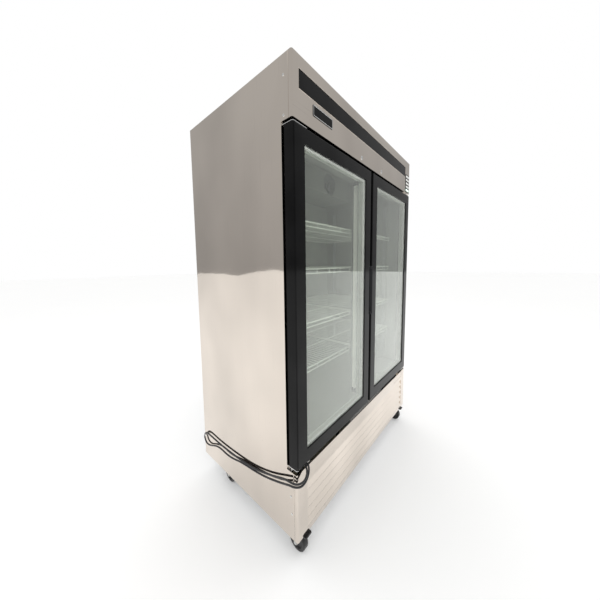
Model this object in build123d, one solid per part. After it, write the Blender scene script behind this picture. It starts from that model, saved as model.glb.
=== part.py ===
"""Two-door glass door merchandiser with a stainless cabinet, in millimetres.

X runs to the right, Y to the rear and Z up. The origin is on the floor under the middle of the cabinet.
"""

from build123d import *
import math
import os

# Overall size
WIDTH = 1380.0
DEPTH = 800.0
HEIGHT = 2106.0
CABINET_BOTTOM = 118.0
HALF_WIDTH = WIDTH / 2
REAR = DEPTH / 2
FRONT = -DEPTH / 2

# Front zone: doors, header and grille stand in front of the insulated body
BODY_FRONT = FRONT + 60.0
PANEL_FACE = FRONT + 2.0
SHEET = 1.5
SKIN = 2.0
PANEL_CORNER_R = 8.0
GRILLE_TOP = 437.0
DOOR_BOTTOM = 455.5
DOOR_TOP = 1860.0
HEADER_BOTTOM = 1873.0

# Header front: black strip, badge, and the screws in the flanges as (z, y)
STRIP_X = (-652.0, 590.0)
STRIP_Z = (1986.0, 2059.0)
BADGE_X = (-564.0, -422.0)
BADGE_Z = (1927.0, 1970.0)
FLANGE_SCREWS = ((2033.0, -355.0), (1891.0, -354.0), (320.0, -361.0), (240.0, -366.0))
SCREW_R = 2.4
SCREW_HEAD_R = 5.0
SCREW_HEAD = 1.6

# Grille front: louvres and the small cover at the top right
GRILLE_LIP = 3.0
LOUVRE_X = (-620.0, 622.0)
LOUVRE_Z = (144.0, 366.0)
LOUVRES = 5
LOUVRE_BAR = 5.0
LOUVRE_SET_BACK = 15.0
ACCESS_X = (455.0, 620.0)
ACCESS_Z = (393.0, 431.0)

# Insulated body
DECK_UNDERSIDE = 440.0
FLOOR_TOP = 500.0
CEILING = 2046.0
LINTEL_BOTTOM = 1820.0
LINTEL_DEPTH = 48.0
INNER_HALF_WIDTH = 640.0
INNER_REAR = 350.0
MULLION_HALF_WIDTH = 35.0
FLANGE_WIDTH = 18.0

# Doors
DOOR_SIDE_MARGIN = 5.0
DOOR_GAP = 24.0
DOOR_DEPTH = 50.0
DOOR_REAR = FRONT + DOOR_DEPTH
RAIL = 64.0
LIP = 6.0
PANE = 4.0
SPACER_DEPTH = 10.0
GLASS_GRIP = 10.0
SPACER_SHOWS = 6.0
REAR_RING = 40.0
HINGE_FROM_SIDE = 27.0
HINGE_FROM_FRONT = 28.0
PIN_R = 6.0
RUNNING_CLEARANCE = 0.05
PULL_BOTTOM = 1015.0
PULL_TOP = 1314.0
PULL_WIDTH = 12.0
PULL_DEPTH = 28.0
DOOR_X = (-HALF_WIDTH + DOOR_SIDE_MARGIN, -DOOR_GAP / 2)
DOOR_Z = (DOOR_BOTTOM, DOOR_TOP)
HINGE_X = -HALF_WIDTH + HINGE_FROM_SIDE
HINGE_Y = FRONT + HINGE_FROM_FRONT
GLASS_Y = (FRONT + LIP, FRONT + LIP + 2 * PANE + SPACER_DEPTH)

# Locks in the header
LOCK_X = 132.5
LOCK_Z = 1898.0
LOCK_HEAD_R = 11.0
LOCK_BARREL_R = 9.0
CAM_LENGTH = 50.0
CAM_WIDTH = 14.0

# Shelves
SHELF_HEIGHTS = (804.0, 1037.0, 1311.0, 1543.0)
SHELF_FRONT = -278.0
SHELF_REAR = 330.0
SHELF_INNER_X = 8.0
SHELF_OUTER_X = 630.0
BORDER_R = 3.5
WIRE_R = 2.0
WIRE_PITCH = 26.0
PILASTER_Z = (520.0, 1800.0)

# Evaporator under the ceiling
COVER_X = 575.0
COVER_Y = (70.0, 346.0)
COVER_Z = (1872.0, 2043.0)
EVAP_FAN_X = 260.0
EVAP_FAN_R = 74.0
EVAP_FAN_Z = 1957.0
EVAP_FAN_Y = 110.0
EVAP_SHAFT_R = 3.0

# Machine compartment
PAN_TOP = CABINET_BOTTOM + 3.0
CONDENSER_X = (-110.0, 410.0)
CONDENSER_TOP = 400.0
CONDENSER_FAN = (150.0, -178.0, 262.0)
CONDENSER_FAN_R = 112.0
CONDENSER_SHAFT_R = 4.0
COMPRESSOR_XY = (300.0, 150.0)
GLAND = (-400.0, 130.0, 205.0)

# Casters
CASTER_FRONT_Y = -310.0
CASTER_REAR_Y = 241.0
CASTER_X = 626.0
CASTER_TRAIL = 36.0
SWIVEL_PIN_R = 6.0
WHEEL_R = 46.0
WHEEL_WIDTH = 32.0
FORK_HALF = WHEEL_WIDTH / 2 + 3
AXLE_R = 5.0
BRAKE_Z = 99.0
BRAKE_FROM_SWIVEL = 23.0
BRAKE_LENGTH = 76.0
BRAKE_RAISED = 8.0

# Controller in the header
CONTROLLER_X = (598.0, 678.0)
CONTROLLER_Z = (1880.0, 2010.0)
CONTROL_ROWS = (1895.0, 1920.0, 1945.0, 1970.0, 1995.0)
KEY_WIDTH = 64.0
KEY_HEIGHT = 14.0

# Mains cord: its radius, the peg on the side panel as (y, z), and the peg's reach
CORD_R = 4.25
PEG = (363.0, 263.0)
PEG_REACH = 18.0

# The cord's route: the gland inside, out over the grille's top edge, round the front left corner, back
# along the side, round the peg at the rear, forwards again and in over the same edge to the plug on the pan.
CORD_ROUTE = (
    (-400.0, 98.0, 205.0),
    (-400.0, 62.0, 205.0),
    (-412.0, 5.0, 190.0),
    (-455.0, -65.0, 182.0),
    (-510.0, -135.0, 196.0),
    (-552.0, -200.0, 240.0),
    (-576.0, -258.0, 300.0),
    (-588.0, -312.0, 356.0),
    (-593.0, -349.0, 402.0),
    (-602.0, -362.0, 431.0),
    (-617.0, -378.0, 445.5),
    (-632.0, -400.0, 446.5),
    (-641.0, -414.0, 435.0),
    (-651.0, -417.5, 421.0),
    (-665.0, -418.0, 412.5),
    (-682.0, -415.0, 410.0),
    (-698.0, -406.0, 411.0),
    (-706.5, -390.0, 411.0),
    (-706.0, -367.0, 407.0),
    (-701.0, -328.0, 393.0),
    (-699.5, -272.0, 367.0),
    (-699.0, -205.0, 341.0),
    (-699.5, -135.0, 319.0),
    (-699.0, -65.0, 305.0),
    (-699.5, 10.0, 295.0),
    (-699.0, 90.0, 287.5),
    (-699.5, 165.0, 282.0),
    (-699.0, 235.0, 280.0),
    (-699.5, 292.0, 281.0),
    (-699.0, 331.0, 281.0),
    (-699.5, 361.5, 276.0),
    (-699.5, 380.5, 262.0),
    (-699.5, 388.0, 240.0),
    (-699.5, 380.5, 218.0),
    (-699.5, 361.5, 204.5),
    (-699.0, 328.0, 207.0),
    (-699.5, 285.0, 227.0),
    (-699.0, 237.0, 248.0),
    (-699.5, 188.0, 256.5),
    (-699.0, 133.0, 253.0),
    (-699.5, 70.0, 262.0),
    (-699.0, 0.0, 283.0),
    (-699.5, -70.0, 296.0),
    (-699.0, -140.0, 307.0),
    (-699.5, -205.0, 323.0),
    (-699.5, -265.0, 343.0),
    (-701.0, -323.0, 366.0),
    (-705.5, -366.0, 389.0),
    (-706.5, -390.0, 396.5),
    (-698.0, -406.0, 397.5),
    (-682.0, -415.5, 396.0),
    (-664.0, -418.0, 398.5),
    (-648.0, -418.0, 407.5),
    (-636.5, -417.0, 421.5),
    (-628.0, -414.0, 436.0),
    (-617.5, -400.0, 446.5),
    (-602.0, -378.0, 445.5),
    (-586.0, -362.0, 431.0),
    (-577.0, -350.0, 400.0),
    (-571.0, -322.0, 345.0),
    (-565.0, -288.0, 285.0),
    (-559.0, -242.0, 224.0),
    (-551.0, -190.0, 170.0),
    (-539.0, -142.0, 140.0),
    (-521.0, -98.0, 132.5),
    (-506.0, -58.0, 132.5),
)

def block(x, y, z):
    """A box between two corners, each argument a (low, high) pair."""
    size = (x[1] - x[0], y[1] - y[0], z[1] - z[0])
    middle = ((x[0] + x[1]) / 2, (y[0] + y[1]) / 2, (z[0] + z[1]) / 2)
    return Pos(*middle) * Box(*size)


def rod(start, end, radius):
    """A round bar from one point to another."""
    along = Vector(*end) - Vector(*start)
    middle = Vector(*start) + along * 0.5
    return Plane(origin=middle, z_dir=along) * Cylinder(radius, along.length)


def prism_x(points, x):
    """A (y, z) outline pushed along X between two places."""
    face = make_face(Plane.YZ * Polyline(*points, close=True))
    return Pos(x[0], 0, 0) * extrude(face, x[1] - x[0], dir=(1, 0, 0))


def group(solids):
    return Compound(children=list(solids))


def mirrored(shape):
    return mirror(shape, about=Plane.YZ)


def ring(x, y, z, inset_from, inset_to):
    """A rectangular frame lying in the XZ plane, between two insets from an outer rectangle."""
    outer = block(
        (x[0] + inset_from, x[1] - inset_from), y, (z[0] + inset_from, z[1] - inset_from)
    )
    inner = block(
        (x[0] + inset_to, x[1] - inset_to), (y[0] - 1, y[1] + 1), (z[0] + inset_to, z[1] - inset_to)
    )
    return outer - inner


# ---------------------------------------------------------------- cabinet

def side_panel():
    """The left skin: flat sheet with a front return and tabs for the flange screws."""
    sheet = block((-HALF_WIDTH, -HALF_WIDTH + SKIN), (BODY_FRONT, REAR), (CABINET_BOTTOM, HEIGHT))
    front_return = block(
        (-HALF_WIDTH + SKIN, -HALF_WIDTH + SKIN + FLANGE_WIDTH),
        (BODY_FRONT, BODY_FRONT + SKIN),
        (CABINET_BOTTOM + 3, HEIGHT),
    )
    panel = sheet + front_return
    for z, y in FLANGE_SCREWS:
        tab_x = (-HALF_WIDTH + SHEET, -HALF_WIDTH + SHEET + 2)
        panel += block(tab_x, (y - 12, BODY_FRONT + 1), (z - 14, z + 14))
        panel -= rod((-HALF_WIDTH, y, z), (-HALF_WIDTH + 12, y, z), SCREW_R + 0.2)
    return panel


def back_panel():
    """Rear sheet with rows of air slots over the machine compartment."""
    inside = HALF_WIDTH - SKIN
    sheet = block((-inside, inside), (REAR - SKIN, REAR), (CABINET_BOTTOM + 3, HEIGHT))
    slots = []
    for row in range(9):
        z = 170 + row * 26
        for x in (-420, 0, 420):
            slots.append(block((x - 150, x + 150), (REAR - 5, REAR + 3), (z, z + 9)))
    return sheet - slots


def top_panel():
    inside = HALF_WIDTH - SKIN
    return block((-inside, inside), (BODY_FRONT + SKIN, REAR - SKIN), (HEIGHT - SKIN, HEIGHT))


def base_pan():
    """Bottom plate with a folded kerb at the rear."""
    inside = HALF_WIDTH - SKIN - 2
    rear = REAR - SKIN - 2
    plate = block((-inside, inside), (FRONT + 10, rear), (CABINET_BOTTOM, PAN_TOP))
    kerb = block((-inside, inside), (rear - 3, rear), (PAN_TOP, PAN_TOP + 27))
    return plate + kerb


def insulation():
    """Foam slabs that fill the space between skins and liner."""
    outside = HALF_WIDTH - SKIN
    front = BODY_FRONT + SKIN
    rear = REAR - SKIN
    top = HEIGHT - SKIN
    inner = INNER_HALF_WIDTH
    return group(
        [
            block((-outside, outside), (front, rear), (DECK_UNDERSIDE, FLOOR_TOP)),
            block((-outside, outside), (front, rear), (CEILING, top)),
            block((-outside, -inner), (front, rear), (FLOOR_TOP, CEILING)),
            block((inner, outside), (front, rear), (FLOOR_TOP, CEILING)),
            block((-inner, inner), (INNER_REAR, rear), (FLOOR_TOP, CEILING)),
            block((-inner, inner), (front, front + LINTEL_DEPTH), (LINTEL_BOTTOM, CEILING)),
        ]
    )


def inner_liner():
    """Thin sheets that line the storage compartment."""
    front = BODY_FRONT + SKIN
    lintel_rear = front + LINTEL_DEPTH
    inner = INNER_HALF_WIDTH
    side = (inner - SHEET, inner)
    upright = (FLOOR_TOP + SHEET, CEILING - SHEET)
    return group(
        [
            block((-inner, inner), (front, INNER_REAR), (FLOOR_TOP, FLOOR_TOP + SHEET)),
            block((-inner, inner), (lintel_rear, INNER_REAR), (CEILING - SHEET, CEILING)),
            block((-side[1], -side[0]), (lintel_rear, INNER_REAR), upright),
            block(side, (lintel_rear, INNER_REAR), upright),
            block((-side[1], -side[0]), (front, lintel_rear), (upright[0], LINTEL_BOTTOM - SHEET)),
            block(side, (front, lintel_rear), (upright[0], LINTEL_BOTTOM - SHEET)),
            block((-side[0], side[0]), (INNER_REAR - SHEET, INNER_REAR), upright),
            block((-inner, inner), (front, lintel_rear), (LINTEL_BOTTOM - SHEET, LINTEL_BOTTOM)),
            block((-side[0], side[0]), (lintel_rear, lintel_rear + SHEET), (LINTEL_BOTTOM, upright[1])),
        ]
    )


def face_frame():
    """Breaker strips on the front of the body, and the post between the two openings."""
    edge = HALF_WIDTH - SKIN - FLANGE_WIDTH
    inner = INNER_HALF_WIDTH - SHEET
    face = (BODY_FRONT, BODY_FRONT + SKIN)
    opening = (FLOOR_TOP + SHEET, LINTEL_BOTTOM - SHEET)
    post = block((-MULLION_HALF_WIDTH, MULLION_HALF_WIDTH), (BODY_FRONT, BODY_FRONT + 50), opening)
    post = chamfer(post.edges().filter_by(Axis.Z).group_by(Axis.Y)[-1], 8)
    return group(
        [
            block((-edge, edge), face, (DECK_UNDERSIDE, opening[0])),
            block((-edge, edge), face, (opening[1], HEIGHT - SKIN)),
            block((-edge, -inner), face, opening),
            block((inner, edge), face, opening),
            post,
        ]
    )


# ---------------------------------------------------------------- header and grille

def front_shell(z, top_depth, bottom_depth):
    """A pan of sheet metal open to the rear, with rounded front corners."""
    outer = block((-HALF_WIDTH, HALF_WIDTH), (PANEL_FACE, BODY_FRONT), z)
    outer = fillet(outer.edges().filter_by(Axis.Z).group_by(Axis.Y)[0], PANEL_CORNER_R)
    inside = block(
        (-HALF_WIDTH + SHEET, HALF_WIDTH - SHEET),
        (PANEL_FACE + SHEET, BODY_FRONT + 1),
        (z[0] + SHEET, z[1] - SHEET),
    )
    inside = fillet(inside.edges().filter_by(Axis.Z).group_by(Axis.Y)[0], PANEL_CORNER_R - SHEET)
    shell = outer - inside
    span = (-HALF_WIDTH + SHEET, HALF_WIDTH - SHEET)
    if top_depth:
        shell -= block(span, (PANEL_FACE + top_depth, BODY_FRONT + 1), (z[1] - SHEET - 1, z[1] + 1))
    if bottom_depth:
        shell -= block(span, (PANEL_FACE + bottom_depth, BODY_FRONT + 1), (z[0] - 1, z[0] + SHEET + 1))
    return shell


def flange_screw_holes(shell, low, high):
    for z, y in FLANGE_SCREWS:
        if low < z < high:
            shell -= rod((-HALF_WIDTH - 1, y, z), (-HALF_WIDTH + 3, y, z), SCREW_R + 0.2)
            shell -= rod((HALF_WIDTH - 3, y, z), (HALF_WIDTH + 1, y, z), SCREW_R + 0.2)
    return shell


def header_panel():
    shell = front_shell((HEADER_BOTTOM, HEIGHT), 0, 48)
    through = (PANEL_FACE - 1, PANEL_FACE + SHEET + 1)
    shell -= block(STRIP_X, through, STRIP_Z)
    window_x = (CONTROLLER_X[0] + 4, CONTROLLER_X[1] - 4)
    window_z = (CONTROLLER_Z[0] + 4, CONTROLLER_Z[1] - 4)
    shell -= block(window_x, through, window_z)
    bore = LOCK_BARREL_R + RUNNING_CLEARANCE
    for side in (-1, 1):
        x = side * LOCK_X
        shell -= rod((x, PANEL_FACE - 1, LOCK_Z), (x, PANEL_FACE + 3, LOCK_Z), bore)
        slot_x = sorted((x - side * 12, x + side * (CAM_LENGTH + 6)))
        slot_y = (PANEL_FACE + 14, PANEL_FACE + 30)
        shell -= block(slot_x, slot_y, (HEADER_BOTTOM - 1, HEADER_BOTTOM + 3))
    return flange_screw_holes(shell, HEADER_BOTTOM, HEIGHT)


def header_strip():
    """Long black insert seen through the window in the header sheet."""
    y = PANEL_FACE + SHEET
    return block((STRIP_X[0] - 6, STRIP_X[1] + 5), (y, y + 2.5), (STRIP_Z[0] - 6, STRIP_Z[1] + 6))


def badge_plate():
    plate = block(BADGE_X, (FRONT, PANEL_FACE), BADGE_Z)
    return fillet(plate.edges().filter_by(Axis.Y), 3)


def grille_panel():
    """Lower front cover with louvre blades that lean in towards their tops, and a cheek at each blade's end."""
    shell = front_shell((CABINET_BOTTOM, GRILLE_TOP), GRILLE_LIP, GRILLE_LIP + 4)
    through = (PANEL_FACE - 1, PANEL_FACE + SHEET + 1)
    back = PANEL_FACE + LOUVRE_SET_BACK
    pitch = (LOUVRE_Z[1] - LOUVRE_Z[0]) / LOUVRES
    blades = []
    for number in range(LOUVRES):
        low = LOUVRE_Z[0] + number * pitch
        high = low + pitch - LOUVRE_BAR
        shell -= block(LOUVRE_X, through, (low, high))
        foot = low - 0.5
        head = high - 2
        outline = [(PANEL_FACE, foot), (PANEL_FACE + SHEET, foot), (back + SHEET, head), (back, head)]
        blades.append(prism_x(outline, (LOUVRE_X[0] - 0.5, LOUVRE_X[1] + 0.5)))
        cheek = [(PANEL_FACE + 0.5, foot), (back + 1, head), (PANEL_FACE + 0.5, high + 0.5)]
        blades += [prism_x(cheek, (x - 1, x + 1)) for x in LOUVRE_X]
    shell = shell + blades
    hole_x = (ACCESS_X[0] - 2, ACCESS_X[1] + 2)
    shell -= block(hole_x, through, (ACCESS_Z[0] - 2, ACCESS_Z[1] + 2))
    return flange_screw_holes(shell, CABINET_BOTTOM, GRILLE_TOP)


def access_plate():
    """Small cover at the top right of the grille, with a rear rim that clips behind the sheet."""
    face = block(ACCESS_X, (PANEL_FACE + 0.2, PANEL_FACE + SHEET), ACCESS_Z)
    rim_x = (ACCESS_X[0] - 8, ACCESS_X[1] + 8)
    rim_z = (ACCESS_Z[0] - 3.5, ACCESS_Z[1] + 3.5)
    return face + block(rim_x, (PANEL_FACE + SHEET, PANEL_FACE + SHEET + 1.2), rim_z)


def panel_screws():
    """Pan-head screws through the header and grille flanges, the same on both sides."""
    screws = []
    for z, y in FLANGE_SCREWS:
        shank = rod((-HALF_WIDTH, y, z), (-HALF_WIDTH + 8, y, z), SCREW_R)
        head = rod((-HALF_WIDTH - SCREW_HEAD, y, z), (-HALF_WIDTH, y, z), SCREW_HEAD_R)
        head = fillet(head.edges().group_by(Axis.X)[0], 1.0)
        recess = block((-HALF_WIDTH - 2, -HALF_WIDTH - 0.8), (y - 3, y + 3), (z - 0.6, z + 0.6))
        recess += block((-HALF_WIDTH - 2, -HALF_WIDTH - 0.8), (y - 0.6, y + 0.6), (z - 3, z + 3))
        screws.append(shank + head - recess)
    return group(screws + [mirrored(s) for s in screws])


# ---------------------------------------------------------------- controller

def control_window(z, grow):
    middle = (CONTROLLER_X[0] + CONTROLLER_X[1]) / 2
    half = KEY_WIDTH / 2 + grow
    return (middle - half, middle + half), (z - KEY_HEIGHT / 2 - grow, z + KEY_HEIGHT / 2 + grow)


def controller_case():
    """Black case with a thin bezel on the header and five windows in a column."""
    x, z = CONTROLLER_X, CONTROLLER_Z
    bezel = block(x, (FRONT + 0.8, PANEL_FACE), z)
    bezel = fillet(bezel.edges().filter_by(Axis.Y), 4)
    body = block((x[0] + 4, x[1] - 4), (PANEL_FACE, PANEL_FACE + 26), (z[0] + 4, z[1] - 4))
    hollow = block((x[0] + 6, x[1] - 6), (PANEL_FACE + 1, PANEL_FACE + 24), (z[0] + 6, z[1] - 6))
    case = bezel + body - hollow
    for row in CONTROL_ROWS:
        window_x, window_z = control_window(row, 0.4)
        case -= block(window_x, (FRONT - 1, PANEL_FACE + 2), window_z)
    return case


def controller_display():
    x, z = control_window(CONTROL_ROWS[0], 0.4)
    return block(x, (FRONT + 1, PANEL_FACE + 1), z) + block(
        (x[0] + 1, x[1] - 1), (PANEL_FACE + 1, PANEL_FACE + 9), (z[0] - 1, z[1] + 1)
    )


def control_key(row):
    """A push key: cap in its window and a wider foot behind the face."""
    x, z = control_window(row, 0)
    cap = block(x, (FRONT, PANEL_FACE + 4), z)
    cap = fillet(cap.edges().group_by(Axis.Y)[0], 0.6)
    foot = block((x[0] - 1.5, x[1] + 1.5), (PANEL_FACE + 2, PANEL_FACE + 4), (z[0] - 1.5, z[1] + 1.5))
    return cap + foot


# ---------------------------------------------------------------- locks

def lock_cylinder(side):
    """Cam lock: head and barrel in the header, with a cam that points outboard when unlocked."""
    x = side * LOCK_X
    head = rod((x, FRONT, LOCK_Z), (x, PANEL_FACE, LOCK_Z), LOCK_HEAD_R)
    head = fillet(head.edges().group_by(Axis.Y)[0], 0.8)
    barrel = rod((x, PANEL_FACE, LOCK_Z), (x, PANEL_FACE + 20, LOCK_Z), LOCK_BARREL_R)
    cam_x = sorted((x, x + side * CAM_LENGTH))
    cam_z = (LOCK_Z - CAM_WIDTH / 2, LOCK_Z + CAM_WIDTH / 2)
    cam = block(cam_x, (PANEL_FACE + 20, PANEL_FACE + 23), cam_z)
    boss = rod((x, PANEL_FACE + 19, LOCK_Z), (x, PANEL_FACE + 26, LOCK_Z), 8.0)
    keyway = block((x - 0.9, x + 0.9), (FRONT - 1, FRONT + 8), (LOCK_Z - 4.5, LOCK_Z + 4.5))
    return head + barrel + cam + boss - keyway


# ---------------------------------------------------------------- doors, modelled on the left

def door_frame():
    """Black outer frame: front lip over the glass, deep outer ring, hinge bores, lock slot, pull pocket."""
    solid = block(DOOR_X, (FRONT, DOOR_REAR), DOOR_Z)
    solid = fillet(solid.edges().group_by(Axis.Y)[0], 5)
    for inset, from_y in ((RAIL, FRONT - 1), (RAIL - GLASS_GRIP, GLASS_Y[0]), (REAR_RING, GLASS_Y[1])):
        x = (DOOR_X[0] + inset, DOOR_X[1] - inset)
        z = (DOOR_Z[0] + inset, DOOR_Z[1] - inset)
        solid -= block(x, (from_y, DOOR_REAR + 1), z)
    bore = PIN_R + RUNNING_CLEARANCE
    solid -= rod((HINGE_X, HINGE_Y, DOOR_BOTTOM - 1), (HINGE_X, HINGE_Y, DOOR_BOTTOM + 25), bore)
    solid -= rod((HINGE_X, HINGE_Y, DOOR_TOP - 25), (HINGE_X, HINGE_Y, DOOR_TOP + 1), bore)
    slot_y = (PANEL_FACE + 17, PANEL_FACE + 26)
    solid -= block((-LOCK_X - 44, -LOCK_X + 10), slot_y, (DOOR_TOP - 15, DOOR_TOP + 1))
    pocket_x = (DOOR_X[1] - PULL_WIDTH, DOOR_X[1] + 1)
    return solid - block(pocket_x, (FRONT - 1, FRONT + PULL_DEPTH), (PULL_BOTTOM, PULL_TOP))


def door_glass():
    """Two panes of the sealed unit."""
    inset = RAIL - GLASS_GRIP + 0.5
    x = (DOOR_X[0] + inset, DOOR_X[1] - inset)
    z = (DOOR_Z[0] + inset, DOOR_Z[1] - inset)
    return group(
        [block(x, (GLASS_Y[0], GLASS_Y[0] + PANE), z), block(x, (GLASS_Y[1] - PANE, GLASS_Y[1]), z)]
    )


def glazing_trim():
    """White spacer between the panes, and the pale inner frame that holds the unit from behind."""
    between = (GLASS_Y[0] + PANE, GLASS_Y[1] - PANE)
    spacer = ring(DOOR_X, between, DOOR_Z, RAIL - GLASS_GRIP + 3, RAIL + SPACER_SHOWS)
    inner = ring(DOOR_X, (GLASS_Y[1], DOOR_REAR), DOOR_Z, REAR_RING, RAIL - 2)
    return group([spacer, inner])


def door_gasket():
    """Soft magnetic seal on the door's rear face, set in from the hinge side so that it clears the body."""
    x = (DOOR_X[0] + 20, DOOR_X[1] - 5)
    z = (DOOR_Z[0] + 20, DOOR_Z[1] - 20)
    seal = ring(x, (DOOR_REAR, DOOR_REAR + 9), z, 0, 14)
    return fillet(seal.edges().group_by(Axis.Y)[-1], 2.5)


def finger_pull():
    """Channel that lines the pocket in the door's free edge, with a screw at each end."""
    wall = 2.0
    x = (DOOR_X[1] - PULL_WIDTH, DOOR_X[1] - 0.5)
    y = (FRONT + 0.5, FRONT + PULL_DEPTH)
    z = (PULL_BOTTOM, PULL_TOP)
    channel = block(x, y, z)
    channel -= block((x[0] + wall, x[1] + 1), (y[0] - 1, y[1] - wall), (z[0] + 16, z[1] - 16))
    channel -= block((x[0] + wall, x[1] + 1), (y[0] - 1, y[0] + 5), (z[0] + 3, z[1] - 3))
    screws = []
    for screw_z in (z[0] + 9, z[1] - 9):
        middle = (x[0] + x[1]) / 2
        head = rod((middle, y[0] + 3, screw_z), (middle, y[0] + 5, screw_z), 3.2)
        screws.append(fillet(head.edges().group_by(Axis.Y)[0], 0.8))
    return group([channel] + screws)


def hinge_bracket(low):
    """Steel plate with a pin, bolted to the front of the body above or below the left door."""
    thick = 2.5
    reach = (-HALF_WIDTH + 4, -HALF_WIDTH + 92)
    y = (FRONT + 3, BODY_FRONT - 3)
    if low:
        plate_z = (DOOR_BOTTOM - 4, DOOR_BOTTOM - 4 + thick)
        back_z = (DOOR_BOTTOM - 44, DOOR_BOTTOM - 4 + thick)
        pin_z = (plate_z[0], DOOR_BOTTOM + 22)
    else:
        plate_z = (DOOR_TOP + 1.5, DOOR_TOP + 1.5 + thick)
        back_z = (DOOR_TOP + 1.5, DOOR_TOP + 44)
        pin_z = (DOOR_TOP - 22, plate_z[1])
    plate = block(reach, y, plate_z)
    plate = chamfer(plate.edges().filter_by(Axis.Z).group_by(Axis.Y)[0], 6)
    back = block(reach, (BODY_FRONT - 3, BODY_FRONT), back_z)
    pin = rod((HINGE_X, HINGE_Y, pin_z[0]), (HINGE_X, HINGE_Y, pin_z[1]), PIN_R)
    bracket = plate + back + pin
    for offset in (20, 45, 70):
        x = reach[0] + offset
        z = (back_z[0] + back_z[1]) / 2 - (6 if low else -6)
        bracket += rod((x, BODY_FRONT - 6, z), (x, BODY_FRONT - 3, z), 5.5)
    return bracket


def hinge_brackets():
    left = [hinge_bracket(True), hinge_bracket(False)]
    return group(left + [mirrored(b) for b in left])


# ---------------------------------------------------------------- inside the storage compartment

def wire_shelf(top):
    """One shelf of the left section: rounded border rod, double front edge and cross wires."""
    x = (-SHELF_OUTER_X + BORDER_R, -SHELF_INNER_X - BORDER_R)
    y = (SHELF_FRONT + BORDER_R, SHELF_REAR - BORDER_R)
    z = top - 2 * WIRE_R - BORDER_R + 0.6
    middle = ((x[0] + x[1]) / 2, (y[0] + y[1]) / 2)
    loop = Plane(origin=(*middle, z)) * RectangleRounded(x[1] - x[0], y[1] - y[0], 14)
    path = loop.face().outer_wire()
    section = Plane(origin=path @ 0, z_dir=path % 0) * Circle(BORDER_R)
    shelf = sweep(section, path=path)
    lower = z - 22
    shelf += rod((x[0] + 20, y[0], lower), (x[1] - 20, y[0], lower), 3.0)
    struts = 6
    for number in range(struts):
        strut_x = x[0] + 24 + number * (x[1] - x[0] - 48) / (struts - 1)
        shelf += rod((strut_x, y[0], lower), (strut_x, y[0], z), 2.5)
    for fraction in (0.33, 0.67):
        rib_y = y[0] + fraction * (y[1] - y[0])
        shelf += rod((x[0], rib_y, z), (x[1], rib_y, z), 2.8)
    count = int((x[1] - x[0] - 20) / WIRE_PITCH)
    start = middle[0] - count * WIRE_PITCH / 2
    wires = []
    for number in range(count + 1):
        wire_x = start + number * WIRE_PITCH
        wires.append(rod((wire_x, y[0], top - WIRE_R), (wire_x, y[1], top - WIRE_R), WIRE_R))
    return shelf + wires


def shelves(side):
    first = wire_shelf(SHELF_HEIGHTS[0])
    if side > 0:
        first = mirrored(first)
    return group([Pos(0, 0, z - SHELF_HEIGHTS[0]) * first for z in SHELF_HEIGHTS])


def pilaster(x, y):
    """A slotted upright strip; its thin way shows which wall it lies on."""
    strip = block(x, y, PILASTER_Z)
    middle = ((x[0] + x[1]) / 2, (y[0] + y[1]) / 2)
    slots = []
    for number in range(25):
        z = PILASTER_Z[0] + 30 + number * 50
        slots.append(Pos(middle[0], middle[1], z) * Box(12, 12, 5))
    return strip - slots


def shelf_supports():
    """Uprights on the side walls, the centre post and the rear wall, and the clips under each shelf."""
    wall = INNER_HALF_WIDTH - SHEET
    post_rear = BODY_FRONT + 50
    rear = INNER_REAR - SHEET
    left = [
        pilaster((-wall, -wall + 5), (-240, -218)),
        pilaster((-wall, -wall + 5), (255, 277)),
        pilaster((-31, -9), (post_rear, post_rear + 5)),
        pilaster((-31, -9), (rear - 5, rear)),
    ]
    for top in SHELF_HEIGHTS:
        under = top - 2 * WIRE_R - 2 * BORDER_R + 0.6
        z = (under - 8, under - 0.1)
        left += [
            block((-wall + 5, -wall + 18), (-236, -222), z),
            block((-wall + 5, -wall + 18), (259, 273), z),
            block((-27, -13), (post_rear + 5, post_rear + 18), z),
            block((-27, -13), (rear - 24, rear - 5), z),
        ]
    return group(left + [mirrored(part) for part in left])


def light_bars():
    """Upright lamp bars beside the centre post, aimed into each section."""
    x = (-MULLION_HALF_WIDTH - 15, -MULLION_HALF_WIDTH)
    bar = block(x, (BODY_FRONT + 12, BODY_FRONT + 36), (540, 1790))
    bar = fillet(bar.edges().filter_by(Axis.Z).group_by(Axis.X)[0], 6)
    return group([bar, mirrored(bar)])


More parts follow.
